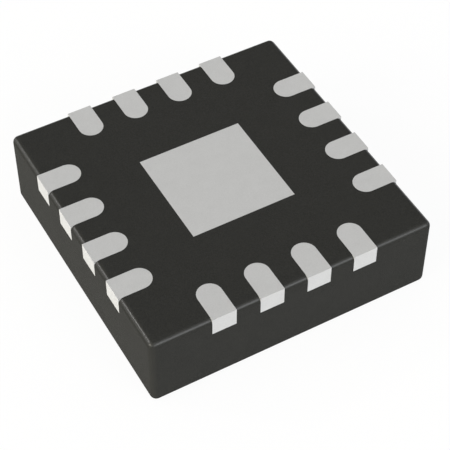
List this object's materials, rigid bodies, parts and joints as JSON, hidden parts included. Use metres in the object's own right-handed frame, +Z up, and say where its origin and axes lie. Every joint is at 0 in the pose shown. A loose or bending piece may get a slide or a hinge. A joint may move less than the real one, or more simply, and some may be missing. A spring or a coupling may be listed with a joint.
{
  "type": "qfn chip",
  "caption": "Square leadless chip package with solder leads along every side and an exposed metal pad, lying on its marking face.",
  "frame": {"origin": "middle of the marking face, which the part lies on", "axes": "+Z up from the marking face to the solder side; +X along the front wall to the right; +Y to the back wall. The leads count clockwise from above, from the front left corner, starting on the left wall."},
  "size_m": [0.003, 0.003, 0.0009],
  "materials": {
    "mould_compound": "satin",
    "plated_copper": "satin",
    "silicon": "gloss",
    "die_adhesive": "matte",
    "bond_wire": "polished"
  },
  "bodies": {
    "root": {"die_attach": "die_adhesive", "die_paddle": "plated_copper", "lead_01": "plated_copper", "lead_02": "plated_copper", "lead_03": "plated_copper", "lead_04": "plated_copper", "lead_05": "plated_copper", "lead_06": "plated_copper", "lead_07": "plated_copper", "lead_08": "plated_copper", "lead_09": "plated_copper", "lead_10": "plated_copper", "lead_11": "plated_copper", "lead_12": "plated_copper", "lead_13": "plated_copper", "lead_14": "plated_copper", "lead_15": "plated_copper", "lead_16": "plated_copper", "mould_body": "mould_compound", "silicon_die": "silicon", "wire_01": "bond_wire", "wire_02": "bond_wire", "wire_03": "bond_wire", "wire_04": "bond_wire", "wire_05": "bond_wire", "wire_06": "bond_wire", "wire_07": "bond_wire", "wire_08": "bond_wire", "wire_09": "bond_wire", "wire_10": "bond_wire", "wire_11": "bond_wire", "wire_12": "bond_wire", "wire_13": "bond_wire", "wire_14": "bond_wire", "wire_15": "bond_wire", "wire_16": "bond_wire"}
  },
  "joints": []
}
